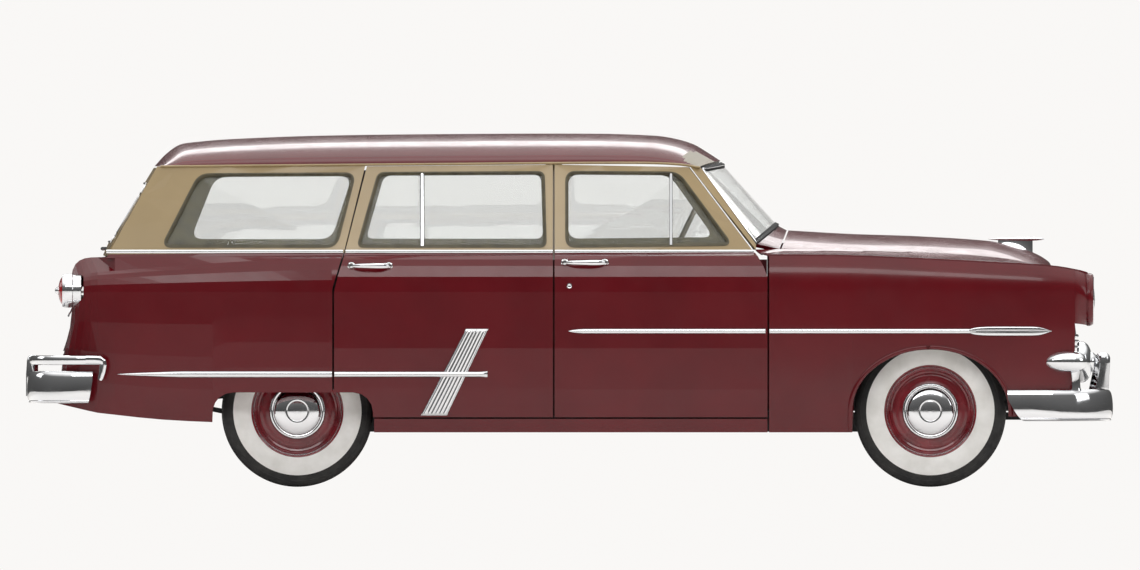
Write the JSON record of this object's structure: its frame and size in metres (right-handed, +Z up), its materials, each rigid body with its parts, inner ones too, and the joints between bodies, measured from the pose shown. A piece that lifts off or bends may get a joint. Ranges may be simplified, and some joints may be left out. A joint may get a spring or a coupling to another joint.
{
  "type": "station wagon",
  "caption": "Full-size station wagon of the early 1950s with steel body, side doors, drop tailgate, liftgate, hood, steered front wheels and bench seats.",
  "frame": {"origin": "on the ground below the middle of the car's length and width", "axes": "+X forward, +Y to the car's left, +Z up"},
  "size_m": [5.012, 1.887, 1.6296],
  "materials": {
    "red_paint": "glossy maroon enamel",
    "tan_paint": "glossy tan enamel",
    "wheel_paint": "glossy maroon enamel with a chrome cap",
    "dark_steel": "satin black",
    "chrome": "polished",
    "glass": "clear with a slight green tint",
    "seat_fabric": "dark green woven cloth",
    "tyre": "black with a white side band",
    "red_lens": "glossy red lens",
    "dash_paint": "dark green enamel",
    "ivory": "glossy ivory",
    "engine_iron": "matt grey",
    "exhaust_steel": "dull"
  },
  "bodies": {
    "car_body": {"chassis_frame": "dark_steel", "floor_pan": "dark_steel", "rockers": "red_paint", "hinge_posts": "red_paint", "pillars": "tan_paint", "rear_header": "tan_paint", "cowl": "red_paint", "firewall": "red_paint", "dashboard": "dash_paint", "roof": "red_paint", "left_quarter": "red_paint", "right_quarter": "red_paint", "left_fender": "red_paint", "right_fender": "red_paint", "aprons": "dark_steel", "grille_panel": "red_paint", "grille": "chrome", "headlamps": "chrome", "tail_lamps": "red_lens", "front_bumper": "chrome", "rear_bumper": "chrome", "windshield": "glass", "quarter_glass": "glass", "front_bench": "seat_fabric", "middle_bench": "seat_fabric", "rear_bench": "seat_fabric", "steering_column": "dash_paint", "front_suspension": "dark_steel", "rear_axle": "dark_steel", "engine": "engine_iron", "radiator": "dark_steel", "fuel_tank": "dark_steel", "exhaust": "exhaust_steel"},
    "left_front_road_wheel": {"left_front_tyre": "tyre", "left_front_wheel": "wheel_paint"},
    "right_front_road_wheel": {"right_front_tyre": "tyre", "right_front_wheel": "wheel_paint"},
    "left_rear_road_wheel": {"left_rear_tyre": "tyre", "left_rear_wheel": "wheel_paint"},
    "right_rear_road_wheel": {"right_rear_tyre": "tyre", "right_rear_wheel": "wheel_paint"},
    "left_steering_knuckle": {"left_knuckle": "dark_steel"},
    "right_steering_knuckle": {"right_knuckle": "dark_steel"},
    "left_front_door": {"left_front_door": "red_paint", "left_front_glass": "glass"},
    "right_front_door": {"right_front_door": "red_paint", "right_front_glass": "glass"},
    "left_rear_door": {"left_rear_door": "red_paint", "left_rear_glass": "glass"},
    "right_rear_door": {"right_rear_door": "red_paint", "right_rear_glass": "glass"},
    "hood": {"hood": "red_paint"},
    "tailgate": {"tailgate": "red_paint"},
    "liftgate": {"liftgate": "tan_paint", "liftgate_glass": "glass"},
    "hand_wheel": {"steering_wheel": "ivory"}
  },
  "joints": [
    {"name": "steer_left", "type": "hinge", "parent": "car_body", "child": "left_steering_knuckle", "pos_m": [1.663, 0.6365, 0.35], "axis": [0, 0, 1], "range_deg": [-30, 30]},
    {"name": "steer_right", "type": "hinge", "parent": "car_body", "child": "right_steering_knuckle", "pos_m": [1.663, -0.6365, 0.35], "axis": [0, 0, 1], "range_deg": [-30, 30]},
    {"name": "steering_wheel_turn", "type": "hinge", "parent": "car_body", "child": "hand_wheel", "pos_m": [0.485, 0.37, 1.092], "axis": [-0.8988, 0, 0.4384], "range_deg": [-600, 600]},
    {"name": "left_front_wheel_roll", "type": "hinge", "parent": "left_steering_knuckle", "child": "left_front_road_wheel", "pos_m": [1.663, 0.7365, 0.35], "axis": [0, 1, 0], "continuous": true},
    {"name": "right_front_wheel_roll", "type": "hinge", "parent": "right_steering_knuckle", "child": "right_front_road_wheel", "pos_m": [1.663, -0.7365, 0.35], "axis": [0, 1, 0], "continuous": true},
    {"name": "left_rear_wheel_roll", "type": "hinge", "parent": "car_body", "child": "left_rear_road_wheel", "pos_m": [-1.258, 0.711, 0.35], "axis": [0, 1, 0], "continuous": true},
    {"name": "right_rear_wheel_roll", "type": "hinge", "parent": "car_body", "child": "right_rear_road_wheel", "pos_m": [-1.258, -0.711, 0.35], "axis": [0, 1, 0], "continuous": true},
    {"name": "left_front_door_swing", "type": "hinge", "parent": "car_body", "child": "left_front_door", "pos_m": [0.867, 0.92527, 0.76], "axis": [0, 0, -1], "range_deg": [0, 65]},
    {"name": "right_front_door_swing", "type": "hinge", "parent": "car_body", "child": "right_front_door", "pos_m": [0.867, -0.92527, 0.76], "axis": [0, 0, 1], "range_deg": [0, 65]},
    {"name": "left_rear_door_swing", "type": "hinge", "parent": "car_body", "child": "left_rear_door", "pos_m": [-0.123, 0.92646, 0.76], "axis": [0, 0, -1], "range_deg": [0, 65]},
    {"name": "right_rear_door_swing", "type": "hinge", "parent": "car_body", "child": "right_rear_door", "pos_m": [-0.123, -0.92646, 0.76], "axis": [0, 0, 1], "range_deg": [0, 65]},
    {"name": "hood_lift", "type": "hinge", "parent": "car_body", "child": "hood", "pos_m": [1.038, 0, 1.171], "axis": [0, -1, 0], "range_deg": [0, 45]},
    {"name": "tailgate_drop", "type": "hinge", "parent": "car_body", "child": "tailgate", "pos_m": [-2.31697, 0, 0.65207], "axis": [0, -1, 0], "range_deg": [0, 108]},
    {"name": "liftgate_lift", "type": "hinge", "parent": "car_body", "child": "liftgate", "pos_m": [-1.92471, 0, 1.44024], "axis": [0, 1, 0], "range_deg": [0, 70]}
  ],
  "couplings": [
    {"joint": "steer_right", "follows": "steer_left", "ratio": 1},
    {"joint": "steering_wheel_turn", "follows": "steer_left", "ratio": 20}
  ]
}
